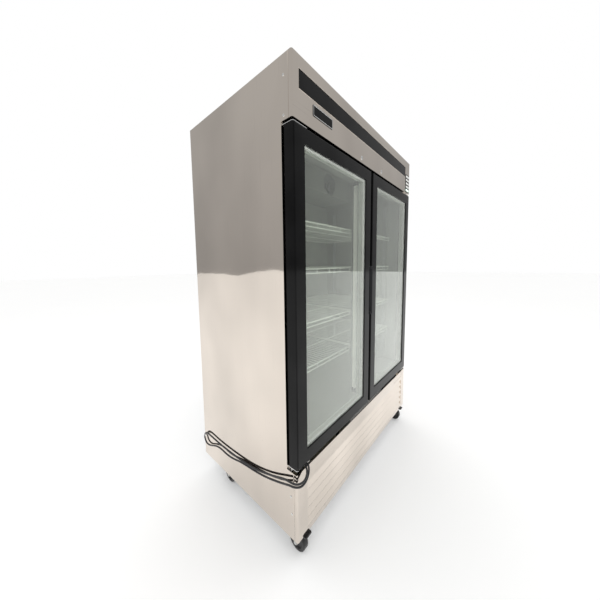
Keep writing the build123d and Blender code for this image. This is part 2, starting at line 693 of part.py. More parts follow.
def evaporator_cover():
    """Sheet box under the ceiling with two round fan openings in its front and a slotted underside."""
    outer = block((-COVER_X, COVER_X), COVER_Y, COVER_Z)
    cover = outer - block(
        (-COVER_X + 2, COVER_X - 2), (COVER_Y[0] + 2, COVER_Y[1] + 1), (COVER_Z[0] + 2, COVER_Z[1] + 1)
    )
    for side in (-1, 1):
        x = side * EVAP_FAN_X
        cover -= rod((x, COVER_Y[0] - 1, EVAP_FAN_Z), (x, COVER_Y[0] + 3, EVAP_FAN_Z), EVAP_FAN_R + 6)
        for radius in (25, 50, 72):
            hoop = Cylinder(radius + 1.5, 2) - Cylinder(radius - 1.5, 3)
            cover += Pos(x, COVER_Y[0] + 1, EVAP_FAN_Z) * Rot(90, 0, 0) * hoop
        span = EVAP_FAN_R + 7
        sheet = (COVER_Y[0], COVER_Y[0] + 2)
        cover += block((x - span, x + span), sheet, (EVAP_FAN_Z - 2, EVAP_FAN_Z + 2))
        cover += block((x - 2, x + 2), sheet, (EVAP_FAN_Z - span, EVAP_FAN_Z + span))
    slots = []
    for number in range(16):
        x = -450 + number * 60
        slots.append(block((x - 20, x + 20), (200, 208), (COVER_Z[0] - 1, COVER_Z[0] + 3)))
        slots.append(block((x - 20, x + 20), (230, 238), (COVER_Z[0] - 1, COVER_Z[0] + 3)))
    return cover - slots


def evaporator_coil():
    """Finned coil with return bends, and the two fan motors on their brackets."""
    core = block((-500, 500), (225, 320), (1900, 2030))
    solids = [core]
    for number in range(5):
        z = 1915 + number * 25
        path = FilletPolyline((-500, 250, z), (-520, 250, z), (-520, 280, z), (-500, 280, z), radius=12)
        section = Plane(origin=path @ 0, z_dir=path % 0) * Circle(4)
        solids.append(sweep(section, path=path))
    for side in (-1, 1):
        x = side * EVAP_FAN_X
        motor = rod((x, EVAP_FAN_Y + 26, EVAP_FAN_Z), (x, EVAP_FAN_Y + 76, EVAP_FAN_Z), 30)
        hanger_z = (EVAP_FAN_Z + 20, CEILING - SHEET)
        motor += block((x - 12, x + 12), (EVAP_FAN_Y + 40, EVAP_FAN_Y + 60), hanger_z)
        motor += rod((x, EVAP_FAN_Y - 4, EVAP_FAN_Z), (x, EVAP_FAN_Y + 26, EVAP_FAN_Z), EVAP_SHAFT_R)
        solids.append(motor)
    return group(solids)


def axial_fan(radius, hub_r, bore_r, depth, blades):
    """A fan whose axis is Y, centred on the origin, with pitched blades round a bored hub."""
    hub = Rot(90, 0, 0) * Cylinder(hub_r, depth)
    fan = hub
    plate = Rot(0, 0, 28) * Box(radius * 0.55, 2.2, radius - hub_r + 2)
    blade = Pos(0, 0, (hub_r + radius) / 2 - 1) * plate
    for number in range(blades):
        fan += Rot(0, number * 360 / blades, 0) * blade
    trim = Rot(90, 0, 0) * Cylinder(radius, radius * 3)
    return (fan & trim) - Rot(90, 0, 0) * Cylinder(bore_r, depth + 10)


def evaporator_fan(side):
    fan = axial_fan(EVAP_FAN_R, 18, EVAP_SHAFT_R + RUNNING_CLEARANCE, 22, 5)
    return Pos(side * EVAP_FAN_X, EVAP_FAN_Y + 8, EVAP_FAN_Z) * fan


# ---------------------------------------------------------------- machine compartment

def compressor():
    """Welded dome on a foot plate, with stub pipes."""
    x, y = COMPRESSOR_XY
    floor = PAN_TOP
    feet = block((x - 120, x + 120), (y - 85, y + 85), (floor + 12, floor + 16))
    shell = Pos(x, y, floor + 110) * Cylinder(86, 188)
    shell = fillet(shell.edges(), 34)
    body = shell + feet
    for dx in (-100, 100):
        for dy in (-65, 65):
            body += rod((x + dx, y + dy, floor), (x + dx, y + dy, floor + 18), 12)
    body += rod((x - 60, y - 40, floor + 150), (x - 150, y - 40, floor + 150), 5)
    body += rod((x - 60, y + 30, floor + 90), (x - 150, y + 30, floor + 90), 5)
    return body


def condenser_unit():
    """Finned block behind the grille, its two end plates, its fan shroud, and the fan motor on a stand."""
    x = CONDENSER_X
    upright = (PAN_TOP + 14, CONDENSER_TOP)
    core = block(x, (-320, -262), upright)
    ends = []
    for end_x in ((x[0] - 4, x[0]), (x[1], x[1] + 4)):
        ends.append(block(end_x, (-330, -252), (PAN_TOP, CONDENSER_TOP + 10)))
    fx, fy, fz = CONDENSER_FAN
    shroud = block(x, (-260, -226), upright)
    shroud -= block((x[0] + 3, x[1] - 3), (-261, -229), (upright[0] + 3, upright[1] - 3))
    shroud -= rod((fx, -230, fz), (fx, -220, fz), CONDENSER_FAN_R + 8)
    motor = rod((fx, fy + 30, fz), (fx, fy + 90, fz), 42)
    motor += block((fx - 30, fx + 30), (fy + 40, fy + 80), (PAN_TOP, fz - 30))
    motor += rod((fx, fy - 14, fz), (fx, fy + 30, fz), CONDENSER_SHAFT_R)
    return group([core, *ends, shroud, motor])


def condenser_fan():
    fan = axial_fan(CONDENSER_FAN_R, 26, CONDENSER_SHAFT_R + RUNNING_CLEARANCE, 26, 5)
    return Pos(*CONDENSER_FAN) * fan


def electrical_box():
    x, y, z = GLAND
    box = block((x - 50, x + 150), (y + 15, y + 115), (PAN_TOP, z + 65))
    box = fillet(box.edges().filter_by(Axis.Z), 4)
    return box - rod((x, y + 10, z), (x, y + 35, z), 8)


def cord_gland():
    """Strain relief in the front wall of the electrical box: nut, collar and tapered sleeve."""
    x, y, z = GLAND
    collar = rod((x, y + 8, z), (x, y + 15, z), 12)
    stem = rod((x, y + 15, z), (x, y + 35, z), 8)
    sleeve = Plane(origin=(x, y - 12, z), z_dir=(0, -1, 0)) * Cone(8.5, 6.5, 40)
    return collar + stem + sleeve


# ---------------------------------------------------------------- casters

def caster_spot(side, front):
    return side * CASTER_X, CASTER_FRONT_Y if front else CASTER_REAR_Y


def caster_plates():
    """Top plates bolted under the base, each with its swivel pin."""
    plates = []
    for side in (-1, 1):
        for front in (True, False):
            x, y = caster_spot(side, front)
            plate = block((x - 45, x + 45), (y - 37, y + 37), (CABINET_BOTTOM - 4, CABINET_BOTTOM))
            plate = fillet(plate.edges().filter_by(Axis.Z), 8)
            under = CABINET_BOTTOM - 4
            plate += rod((x, y, under - 12), (x, y, under), SWIVEL_PIN_R)
            for dx in (-36, 36):
                for dy in (-27, 27):
                    plate += rod((x + dx, y + dy, under - 5), (x + dx, y + dy, under), 5)
            plates.append(plate)
    return group(plates)


def caster_fork(side, front):
    """Swivel yoke with its axle bolt; the wheel trails towards the front."""
    x, y = caster_spot(side, front)
    top = CABINET_BOTTOM - 4.4
    crown = Pos(x, y, top - 5) * Cylinder(27, 10)
    crown = fillet(crown.edges().group_by(Axis.Z)[0], 3)
    axle_y = y - CASTER_TRAIL
    half = FORK_HALF
    outline = [
        (y + 20, top - 7),
        (y - 40, top - 7),
        (axle_y - 14, WHEEL_R + 4),
        (axle_y - 8, WHEEL_R - 10),
        (axle_y + 8, WHEEL_R - 10),
        (axle_y + 16, WHEEL_R + 6),
        (y + 20, top - 22),
    ]
    fork = crown + block((x - half - 3, x + half + 3), (y - 18, y + 20), (top - 10, top - 6))
    for leg_x in ((x - half - 3, x - half), (x + half, x + half + 3)):
        fork += prism_x(outline, leg_x)
    fork += rod((x - half - 6, axle_y, WHEEL_R), (x + half + 6, axle_y, WHEEL_R), AXLE_R)
    for end in (-1, 1):
        start = x + end * (half + 3)
        fork += rod((start, axle_y, WHEEL_R), (start + end * 5, axle_y, WHEEL_R), 8)
    return fork - rod((x, y, top - 12), (x, y, top + 1), SWIVEL_PIN_R + RUNNING_CLEARANCE)


def caster_wheel(side, front):
    x, y = caster_spot(side, front)
    centre = (x, y - CASTER_TRAIL, WHEEL_R)
    wheel = Cylinder(WHEEL_R, WHEEL_WIDTH)
    wheel = fillet(wheel.edges(), 5)
    for face in (-1, 1):
        dish = Cylinder(WHEEL_R - 13, 6) - Cylinder(12, 6)
        wheel -= Pos(0, 0, face * (WHEEL_WIDTH / 2 - 1)) * dish
    wheel -= Cylinder(AXLE_R + RUNNING_CLEARANCE, WHEEL_WIDTH + 2)
    return Pos(*centre) * Rot(0, 90, 0) * wheel


def caster_brake(side):
    """Raised foot pedal of a front caster: pivot pin, lever over the wheel, brake shoe and toe plate."""
    x, y = caster_spot(side, True)
    y -= BRAKE_FROM_SWIVEL
    z = BRAKE_Z
    lever = block((x - 12, x + 12), (y - BRAKE_LENGTH + 20, y + 4), (z - 1.8, z + 1.8))
    shoe = block((x - 10, x + 10), (y - 19, y - 7), (z - 6, z))
    toe = block((x - 21, x + 21), (y - BRAKE_LENGTH, y - BRAKE_LENGTH + 24), (z - 3, z + 3))
    toe = fillet(toe.edges().filter_by(Axis.Z), 5)
    pin = rod((x - FORK_HALF + 0.5, y, z), (x + FORK_HALF - 0.5, y, z), 3.5)
    raised = Pos(0, y, z) * Rot(-BRAKE_RAISED, 0, 0) * Pos(0, -y, -z)
    return raised * (lever + shoe + toe + pin)


# ---------------------------------------------------------------- mains cord

def corner_radii(points):
    """Each corner's radius: as large as its two runs allow."""
    radii = []
    for before, here, after in zip(points, points[1:], points[2:]):
        arrive = Vector(*here) - Vector(*before)
        leave = Vector(*after) - Vector(*here)
        turn = math.radians(arrive.get_angle(leave))
        radii.append(0.45 * min(arrive.length, leave.length) / math.tan(turn / 2))
    return radii


def mains_cord():
    radii = corner_radii(CORD_ROUTE)
    path = FilletPolyline(*CORD_ROUTE, radius=radii)
    section = Plane(origin=path @ 0, z_dir=path % 0) * Circle(CORD_R)
    tube = sweep(section, path=path)
    full = path.length * math.pi * CORD_R**2
    print("cord radii", [round(r) for r in radii])
    print("cord smallest radius in diameters", round(min(radii) / CORD_R / 2, 2))
    print("cord length", round(path.length, 1), "volume ratio", round(tube.volume / full, 4))
    return tube


def mains_plug():
    """Moulded plug with two flat blades and a round earth pin, lying on the base pan."""
    end = Vector(*CORD_ROUTE[-1])
    along = (end - Vector(*CORD_ROUTE[-2])).normalized()
    lie = Plane(origin=end, z_dir=along, x_dir=along.cross(Vector(0, 0, 1)))
    body = Pos(0, 0, 34) * Box(24, 21, 30)
    body = fillet(body.edges().filter_by(Axis.Z), 7)
    body += Pos(0, 0, 10) * Cone(CORD_R + 1.6, 9, 20)
    blades = Pos(-6.35, 3, 57) * Box(1.5, 6.4, 18) + Pos(6.35, 3, 57) * Box(1.5, 6.4, 18)
    blades += Pos(0, -5.5, 58) * Cylinder(2.4, 20)
    return lie * (body + blades)


def cord_peg():
    """Small headed peg on the left side panel that the cord loop hangs on."""
    y, z = PEG
    stem = rod((-HALF_WIDTH - PEG_REACH, y, z), (-HALF_WIDTH, y, z), 4)
    head = rod((-HALF_WIDTH - PEG_REACH, y, z), (-HALF_WIDTH - PEG_REACH + 2, y, z), 7)
    foot = rod((-HALF_WIDTH - 1.5, y, z), (-HALF_WIDTH, y, z), 8)
    return stem + head + foot


# ---------------------------------------------------------------- nodes

def both_doors(name, build):
    left = build()
    return {name + "_left": left, name + "_right": mirrored(left)}


def all_nodes():
    left_skin = side_panel()
    nodes = {
        "side_panel_left": left_skin,
        "side_panel_right": mirrored(left_skin),
        "back_panel": back_panel(),
        "top_panel": top_panel(),
        "base_pan": base_pan(),
        "insulation": insulation(),
        "inner_liner": inner_liner(),
        "face_frame": face_frame(),
        "header_panel": header_panel(),
        "header_strip": header_strip(),
        "badge_plate": badge_plate(),
        "grille_panel": grille_panel(),
        "access_plate": access_plate(),
        "panel_screws": panel_screws(),
        "controller_case": controller_case(),
        "controller_display": controller_display(),
        "lock_left": lock_cylinder(-1),
        "lock_right": lock_cylinder(1),
        "hinge_brackets": hinge_brackets(),
        "shelves_left": shelves(-1),
        "shelves_right": shelves(1),
        "shelf_supports": shelf_supports(),
        "light_bars": light_bars(),
        "evaporator_cover": evaporator_cover(),
        "evaporator_coil": evaporator_coil(),
        "evaporator_fan_left": evaporator_fan(-1),
        "evaporator_fan_right": evaporator_fan(1),
        "compressor": compressor(),
        "condenser_unit": condenser_unit(),
        "condenser_fan": condenser_fan(),
        "electrical_box": electrical_box(),
        "cord_gland": cord_gland(),
        "mains_cord": mains_cord(),
        "mains_plug": mains_plug(),
        "cord_peg": cord_peg(),
        "caster_plates": caster_plates(),
        "caster_brake_left": caster_brake(-1),
        "caster_brake_right": caster_brake(1),
    }
    for number, row in enumerate(CONTROL_ROWS[1:], 1):
        nodes[f"control_key_{number}"] = control_key(row)
    door_pieces = {
        "door_frame": door_frame,
        "door_glass": door_glass,
        "glazing_trim": glazing_trim,
        "door_gasket": door_gasket,
        "finger_pull": finger_pull,
    }
    for name, build in door_pieces.items():
        nodes.update(both_doors(name, build))
    for place, front in (("front", True), ("rear", False)):
        for hand, side in (("left", -1), ("right", 1)):
            nodes[f"caster_fork_{place}_{hand}"] = caster_fork(side, front)
            nodes[f"caster_wheel_{place}_{hand}"] = caster_wheel(side, front)
    return nodes


os.makedirs("parts", exist_ok=True)
for node_name, shape in all_nodes().items():
    export_step(shape, f"parts/{node_name}.step")
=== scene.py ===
"""Looks of a two-door glass door merchandiser: brushed steel cabinet, black framed doors, lit interior.

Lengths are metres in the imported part's frame: X to the right, Y to the rear, Z up, origin on the floor.
"""

import math

import bmesh
import bpy
from mathutils import Matrix, Vector


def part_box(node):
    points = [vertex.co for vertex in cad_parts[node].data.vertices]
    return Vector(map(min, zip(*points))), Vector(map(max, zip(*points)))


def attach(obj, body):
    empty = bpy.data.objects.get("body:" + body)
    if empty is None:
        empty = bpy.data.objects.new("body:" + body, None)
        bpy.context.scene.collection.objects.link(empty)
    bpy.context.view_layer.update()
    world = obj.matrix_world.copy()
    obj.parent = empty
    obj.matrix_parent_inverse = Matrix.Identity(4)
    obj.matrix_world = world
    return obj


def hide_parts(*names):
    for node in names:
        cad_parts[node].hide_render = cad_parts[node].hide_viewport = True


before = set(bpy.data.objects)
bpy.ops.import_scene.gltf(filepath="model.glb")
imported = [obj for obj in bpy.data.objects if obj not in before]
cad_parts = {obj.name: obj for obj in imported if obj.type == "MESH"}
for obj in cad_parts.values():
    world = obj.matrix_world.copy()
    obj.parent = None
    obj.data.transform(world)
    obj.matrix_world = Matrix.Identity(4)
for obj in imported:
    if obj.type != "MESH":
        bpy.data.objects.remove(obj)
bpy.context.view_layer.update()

CABINET = "cabinet"
SIDES = ("left", "right")

# Camera
CAMERA_PLACE = (-1.3792, -1.0209, 1.3253)
CAMERA_TURN = -48.72
CAMERA_PITCH = -5.15
CAMERA_ROLL = -0.70
CAMERA_LENS = 14.31
CAMERA_SHIFT = (0.0035, -0.0225)

# Mains cord, the same route as the CAD tube
CORD_RADIUS = 0.00425
CORD_ROUTE = (
    (-0.4000, 0.0980, 0.2050),
    (-0.4000, 0.0620, 0.2050),
    (-0.4120, 0.0050, 0.1900),
    (-0.4550, -0.0650, 0.1820),
    (-0.5100, -0.1350, 0.1960),
    (-0.5520, -0.2000, 0.2400),
    (-0.5760, -0.2580, 0.3000),
    (-0.5880, -0.3120, 0.3560),
    (-0.5930, -0.3490, 0.4020),
    (-0.6020, -0.3620, 0.4310),
    (-0.6170, -0.3780, 0.4455),
    (-0.6320, -0.4000, 0.4465),
    (-0.6410, -0.4140, 0.4350),
    (-0.6510, -0.4175, 0.4210),
    (-0.6650, -0.4180, 0.4125),
    (-0.6820, -0.4150, 0.4100),
    (-0.6980, -0.4060, 0.4110),
    (-0.7065, -0.3900, 0.4110),
    (-0.7060, -0.3670, 0.4070),
    (-0.7010, -0.3280, 0.3930),
    (-0.6995, -0.2720, 0.3670),
    (-0.6990, -0.2050, 0.3410),
    (-0.6995, -0.1350, 0.3190),
    (-0.6990, -0.0650, 0.3050),
    (-0.6995, 0.0100, 0.2950),
    (-0.6990, 0.0900, 0.2875),
    (-0.6995, 0.1650, 0.2820),
    (-0.6990, 0.2350, 0.2800),
    (-0.6995, 0.2920, 0.2810),
    (-0.6990, 0.3310, 0.2810),
    (-0.6995, 0.3615, 0.2760),
    (-0.6995, 0.3805, 0.2620),
    (-0.6995, 0.3880, 0.2400),
    (-0.6995, 0.3805, 0.2180),
    (-0.6995, 0.3615, 0.2045),
    (-0.6990, 0.3280, 0.2070),
    (-0.6995, 0.2850, 0.2270),
    (-0.6990, 0.2370, 0.2480),
    (-0.6995, 0.1880, 0.2565),
    (-0.6990, 0.1330, 0.2530),
    (-0.6995, 0.0700, 0.2620),
    (-0.6990, 0.0000, 0.2830),
    (-0.6995, -0.0700, 0.2960),
    (-0.6990, -0.1400, 0.3070),
    (-0.6995, -0.2050, 0.3230),
    (-0.6995, -0.2650, 0.3430),
    (-0.7010, -0.3230, 0.3660),
    (-0.7055, -0.3660, 0.3890),
    (-0.7065, -0.3900, 0.3965),
    (-0.6980, -0.4060, 0.3975),
    (-0.6820, -0.4155, 0.3960),
    (-0.6640, -0.4180, 0.3985),
    (-0.6480, -0.4180, 0.4075),
    (-0.6365, -0.4170, 0.4215),
    (-0.6280, -0.4140, 0.4360),
    (-0.6175, -0.4000, 0.4465),
    (-0.6020, -0.3780, 0.4455),
    (-0.5860, -0.3620, 0.4310),
    (-0.5770, -0.3500, 0.4000),
    (-0.5710, -0.3220, 0.3450),
    (-0.5650, -0.2880, 0.2850),
    (-0.5590, -0.2420, 0.2240),
    (-0.5510, -0.1900, 0.1700),
    (-0.5390, -0.1420, 0.1400),
    (-0.5210, -0.0980, 0.1325),
    (-0.5060, -0.0580, 0.1325),
)

# Soft lights: name, place, target, width and power in watts
LIGHTS = (
    ("key_light", (-3.2, -3.0, 4.2), (-0.3, -0.2, 1.0), 2.5, 40),
    ("fill_light", (3.5, -3.5, 3.0), (0.3, -0.2, 1.0), 3.0, 20),
    ("top_light", (0.0, 0.5, 5.0), (0.0, 0.0, 0.0), 4.0, 20),
)

# A plain studio that only reflections see: a dome's radius, the height of its centre, and its soft greys.
# Each tone is (degrees above the centre, brightness). Between two tones the brightness is a straight blend.
DOME = 60.0
EYE = 1.3
STUDIO_TONES = (
    (-90, 0.6),
    (-20, 0.6),
    (0, 0.4),
    (40, 0.5),
    (90, 0.9),
)

# Detail sizes: door frame's face, black strip, badge, beads, tyres, gland, hems and key marks
RAIL = 0.064
STRIP_LAP = 0.006
STRIP_LAP_RIGHT = 0.005
STRIP_EDGE = 0.0009
BEAD_SINK = 0.0006
BADGE_EDGE = 0.0011
TYRE_INNER = 0.70
TYRE_ROUND = 0.005
HUB_BORE = 0.00515
GLAND_RIBS = 6
GLAND_PITCH = 0.0052
HEM_WIDTH = 0.0035
HEM_PROUD = 0.0008
HEM_END = 0.001
MARK_SINK = 0.0002
MARK_PROUD = 0.0001

# The stainless sheet's colour, warmer than bare steel: partly the steel's own tone, partly a painted warm
# reflection of the room around it
STEEL_AND_WARM_REFLECTION = (0.74, 0.67, 0.60)


def add_object(name, data):
    """A new object in the scene, made of the data."""
    thing = bpy.data.objects.new(name, data)
    bpy.context.scene.collection.objects.link(thing)
    return thing


# ---------------------------------------------------------------- camera

def make_camera():
    data = bpy.data.cameras.new("camera")
    data.lens = CAMERA_LENS
    data.shift_x, data.shift_y = CAMERA_SHIFT
    data.clip_start = 0.02
    camera = add_object("camera", data)
    turn = Matrix.Rotation(math.radians(CAMERA_TURN), 4, "Z")
    pitch = Matrix.Rotation(math.radians(90 + CAMERA_PITCH), 4, "X")
    roll = Matrix.Rotation(math.radians(CAMERA_ROLL), 4, "Z")
    camera.matrix_world = Matrix.Translation(CAMERA_PLACE) @ turn @ pitch @ roll
    bpy.context.scene.camera = camera


# ---------------------------------------------------------------- node helpers

def make_material(name, colour, roughness, metallic=0.0, **values):
    """A Principled material; extra sockets are given by name, with _ for a space."""
    material = bpy.data.materials.new(name)
    material.use_nodes = True
    shader = material.node_tree.nodes["Principled BSDF"]
    shader.inputs["Base Color"].default_value = (*colour, 1)
    shader.inputs["Roughness"].default_value = roughness
    shader.inputs["Metallic"].default_value = metallic
    for socket, value in values.items():
        shader.inputs[socket.replace("_", " ")].default_value = value
    return material


def shader_of(material):
    return material.node_tree.nodes["Principled BSDF"]


def add_node(material, kind, **inputs):
    node = material.node_tree.nodes.new(kind)
    for socket, value in inputs.items():
        node.inputs[socket.replace("_", " ")].default_value = value
    return node


def join(material, output, socket):
    material.node_tree.links.new(output, socket)


def noise(material, scale, stretch=(1, 1, 1), detail=3.0, distortion=0.0):
    """Noise in the part's own metres, stretched by a scale for each axis."""
    place = add_node(material, "ShaderNodeTexCoord")
    mapping = add_node(material, "ShaderNodeMapping", Scale=stretch)
    texture = add_node(material, "ShaderNodeTexNoise", Scale=scale, Detail=detail, Distortion=distortion)
    join(material, place.outputs["Object"], mapping.inputs["Vector"])
    join(material, mapping.outputs["Vector"], texture.inputs["Vector"])
    return texture.outputs["Fac"]


def remap(material, value, low, high, start=0.0, end=1.0):
    node = add_node(material, "ShaderNodeMapRange")
    node.inputs["From Min"].default_value = low
    node.inputs["From Max"].default_value = high
    node.inputs["To Min"].default_value = start
    node.inputs["To Max"].default_value = end
    join(material, value, node.inputs["Value"])
    return node.outputs["Result"]


def calculate(material, operation, *values):
    """A Math node; each value may be a number or another node's output."""
    node = material.node_tree.nodes.new("ShaderNodeMath")
    node.operation = operation
    for socket, value in zip(node.inputs, values):
        if isinstance(value, float):
            socket.default_value = value
        else:
            join(material, value, socket)
    return node.outputs[0]


def blend_colours(material, factor, first, second):
    """A mix of two colours; each may be a tuple or another node's output."""
    node = material.node_tree.nodes.new("ShaderNodeMix")
    node.data_type = "RGBA"
    join(material, factor, node.inputs[0])
    for socket, colour in ((node.inputs[6], first), (node.inputs[7], second)):
        if isinstance(colour, tuple):
            socket.default_value = (*colour, 1)
        else:
            join(material, colour, socket)
    return node.outputs[2]


def colour_from(material, output):
    join(material, output, shader_of(material).inputs["Base Color"])


def roughness_from(material, output):
    join(material, output, shader_of(material).inputs["Roughness"])


def bumps(material, *layers):
    """Bump from (height output, distance in metres, strength) layers, one feeding the next."""
    below = None
    for height, distance, strength in layers:
        node = add_node(material, "ShaderNodeBump", Strength=strength, Distance=distance)
        join(material, height, node.inputs["Height"])
        if below is not None:
            join(material, below, node.inputs["Normal"])
        below = node.outputs["Normal"]
    join(material, below, shader_of(material).inputs["Normal"])


def dress(node, material):
    """Gives a CAD node's every slot the material."""
    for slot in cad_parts[node].material_slots:
        slot.material = material


# ---------------------------------------------------------------- materials

def brushed_steel(name, tint, stretch, waviness, roughness=0.065, anisotropy=0.85):
    """Stainless sheet: grain along one axis, faint colour drift, and soft waves from handling."""
    material = make_material(name, tint, roughness, 1.0, Anisotropic=anisotropy)
    grain = noise(material, 1.0, stretch, 4.0)
    drift = noise(material, 2.2, (1, 1, 0.7), 2.0)
    waves = noise(material, 1.6, (1.0, 1.0, 1.7), 1.5, 0.4)
    dents = noise(material, 5.0, (1, 1, 2.5), 1.0)
    ripples = noise(material, 13.0, (1, 1, 2.4), 2.0)
    pale = tuple(min(1.0, c * 1.07) for c in tint)
    dark = tuple(c * 0.9 for c in tint)
    drifted = blend_colours(material, remap(material, drift, 0.35, 0.65), dark, pale)
    deep = tuple(c * 0.84 for c in tint)
    colour_from(material, blend_colours(material, remap(material, grain, 0.62, 0.8, 0.0, 0.5), drifted, deep))
    roughness_from(material, remap(material, grain, 0.3, 0.7, roughness - 0.015, roughness + 0.03))
    tangent = add_node(material, "ShaderNodeTangent")
    tangent.direction_type = "RADIAL"
    tangent.axis = "Z"
    join(material, tangent.outputs["Tangent"], shader_of(material).inputs["Tangent"])
    bumps(
        material, (waves, waviness, 1.0), (dents, waviness * 0.11, 1.0), (ripples, waviness * 0.022, 1.0),
        (grain, 0.00002, 0.35),
    )
    return material


def glass_material():
    """Clear double pane: a transparent body with a mirror reflection that grows towards grazing angles."""
    material = bpy.data.materials.new("pane_glass")
    material.use_nodes = True
    tree = material.node_tree
    tree.nodes.clear()
    output = tree.nodes.new("ShaderNodeOutputMaterial")
    mix = tree.nodes.new("ShaderNodeMixShader")
    clear = tree.nodes.new("ShaderNodeBsdfTransparent")
    clear.inputs["Color"].default_value = (0.95, 0.965, 0.945, 1)
    gloss = tree.nodes.new("ShaderNodeBsdfGlossy")
    gloss.inputs["Color"].default_value = (1, 1, 1, 1)
    gloss.inputs["Roughness"].default_value = 0.012
    facing = tree.nodes.new("ShaderNodeLayerWeight")
    facing.inputs["Blend"].default_value = 0.5
    grazing = calculate(material, "POWER", facing.outputs["Facing"], 3.4)
    mirror = calculate(material, "MULTIPLY_ADD", grazing, 0.70, 0.055)
    join(material, mirror, mix.inputs[0])
    join(material, clear.outputs[0], mix.inputs[1])
    join(material, gloss.outputs[0], mix.inputs[2])
    join(material, mix.outputs[0], output.inputs["Surface"])
    return material


def speckled(name, colour, roughness, metallic=0.0, scale=400.0, depth=0.00004, spread=0.08, **values):
    """A plain finish broken up by fine texture and a slow drift in tone."""
    material = make_material(name, colour, roughness, metallic, **values)
    fine = noise(material, scale, detail=2.0)
    slow = noise(material, 6.0, detail=3.0)
    pale = tuple(min(1.0, c * (1 + spread) + 0.004) for c in colour)
    dark = tuple(c * (1 - spread) for c in colour)
    colour_from(material, blend_colours(material, remap(material, slow, 0.3, 0.7), dark, pale))
    roughness_from(material, remap(material, slow, 0.25, 0.75, roughness * 0.85, min(1.0, roughness * 1.2)))
    bumps(material, (fine, depth, 0.5))
    return material


def finned_material(name, pitch):
    """Close fins that run up and down, as light and dark bands across X; the dark bands are painted shade in
    the gaps between the fins.
    """
    material = make_material(name, (0.62, 0.63, 0.64), 0.38, 0.9)
    place = add_node(material, "ShaderNodeTexCoord")
    wave = add_node(material, "ShaderNodeTexWave", Scale=1.0 / (pitch * math.tau), Distortion=0.0)
    wave.bands_direction = "X"
    join(material, place.outputs["Object"], wave.inputs["Vector"])
    # The dark colour is painted shade between the fins; the pale one is the fins' own metal.
    painted_gap_shade, fin = (0.08, 0.08, 0.085), (0.72, 0.73, 0.74)
    colour_from(material, blend_colours(material, wave.outputs["Fac"], painted_gap_shade, fin))
    bumps(material, (wave.outputs["Fac"], 0.001, 1.0))
    return material


def glowing(name, colour, strength):
    """A frosted cover with a slightly uneven glow."""
    material = make_material(name, (0.9, 0.9, 0.88), 0.35)
    uneven = noise(material, 60.0, (1, 1, 0.3), 2.0)
    dim = tuple(c * 0.86 for c in colour)
    tone = blend_colours(material, remap(material, uneven, 0.3, 0.7), dim, colour)
    join(material, tone, shader_of(material).inputs["Emission Color"])
    shader_of(material).inputs["Emission Strength"].default_value = strength
    return material


# ---------------------------------------------------------------- cord

def make_cord(jacket):
    curve = bpy.data.curves.new("cord", "CURVE")
    curve.dimensions = "3D"
    line = curve.splines.new("NURBS")
    line.points.add(len(CORD_ROUTE) - 1)
    for point, place in zip(line.points, CORD_ROUTE):
        point.co = (*place, 1)
    line.order_u = 3
    line.use_endpoint_u = True
    line.resolution_u = 8
    curve.bevel_depth = CORD_RADIUS
    curve.bevel_resolution = 4
    curve.materials.append(jacket)
    cord = add_object("cord", curve)
    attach(cord, CABINET)
    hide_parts("mains_cord")


# ---------------------------------------------------------------- stage

def stage_mesh(name, corners, faces, material):
    mesh = bpy.data.meshes.new(name)
    mesh.from_pydata(corners, [], faces)
    mesh.materials.append(material)
    piece = add_object(name, mesh)
    return piece


def make_floor():
    material = make_material("floor", (0.93, 0.93, 0.92), 0.8, Specular_IOR_Level=0.1, Emission_Strength=0.07)
    shader_of(material).inputs["Emission Color"].default_value = (1, 1, 1, 1)
    tone = noise(material, 0.7)
    colour_from(material, blend_colours(material, tone, (0.92, 0.92, 0.915), (0.95, 0.95, 0.945)))
    far = 40.0
    corners = [(-far, -far, 0), (far, -far, 0), (far, far, 0), (-far, far, 0)]
    stage_mesh("floor", corners, [(0, 1, 2, 3)], material)


def soft_light(name, place, target, size, power):
    """A square white light that neither the camera nor reflections see."""
    data = bpy.data.lights.new(name, "AREA")
    data.shape = "SQUARE"
    data.size = size
    data.energy = power
    light = add_object(name, data)
    aim = (Vector(target) - Vector(place)).to_track_quat("-Z", "Y")
    light.matrix_world = Matrix.Translation(place) @ aim.to_matrix().to_4x4()
    light.visible_glossy = False
    light.visible_camera = False


def make_world():
    world = bpy.data.worlds.new("studio")
    bpy.context.scene.world = world
    world.use_nodes = True
    world.node_tree.nodes["Background"].inputs["Color"].default_value = (1, 1, 1, 1)
    world.node_tree.nodes["Background"].inputs["Strength"].default_value = 1.0


def glow_material(name):
    """A material that only glows, and its emission node."""
    material = bpy.data.materials.new(name)
    material.use_nodes = True
    material.cycles.emission_sampling = "NONE"
    tree = material.node_tree
    tree.nodes.clear()
    output = tree.nodes.new("ShaderNodeOutputMaterial")
    glow = tree.nodes.new("ShaderNodeEmission")
    join(material, glow.outputs[0], output.inputs["Surface"])
    return material, glow


def dome_material():
    """The studio's glow: one grey at each height, the same all the way round."""
    material, glow = glow_material("surroundings")
    place = add_node(material, "ShaderNodeTexCoord")
    parts = add_node(material, "ShaderNodeSeparateXYZ")
    join(material, place.outputs["Object"], parts.inputs[0])
    ramp = material.node_tree.nodes.new("ShaderNodeValToRGB")
    stops = ramp.color_ramp.elements
    while len(stops) < len(STUDIO_TONES):
        stops.new(0.5)
    for stop, (degrees, tone) in zip(stops, STUDIO_TONES):
        stop.position = (math.sin(math.radians(degrees)) + 1) / 2
        stop.color = (tone, tone, tone, 1)
    join(material, remap(material, parts.outputs["Z"], -DOME, DOME), ramp.inputs["Fac"])
    join(material, ramp.outputs["Color"], glow.inputs["Color"])
    return material


def hide_from_all_but_gloss(piece):
    piece.visible_camera = False
    piece.visible_diffuse = False
    piece.visible_transmission = False
    piece.visible_shadow = False
    piece.visible_volume_scatter = False


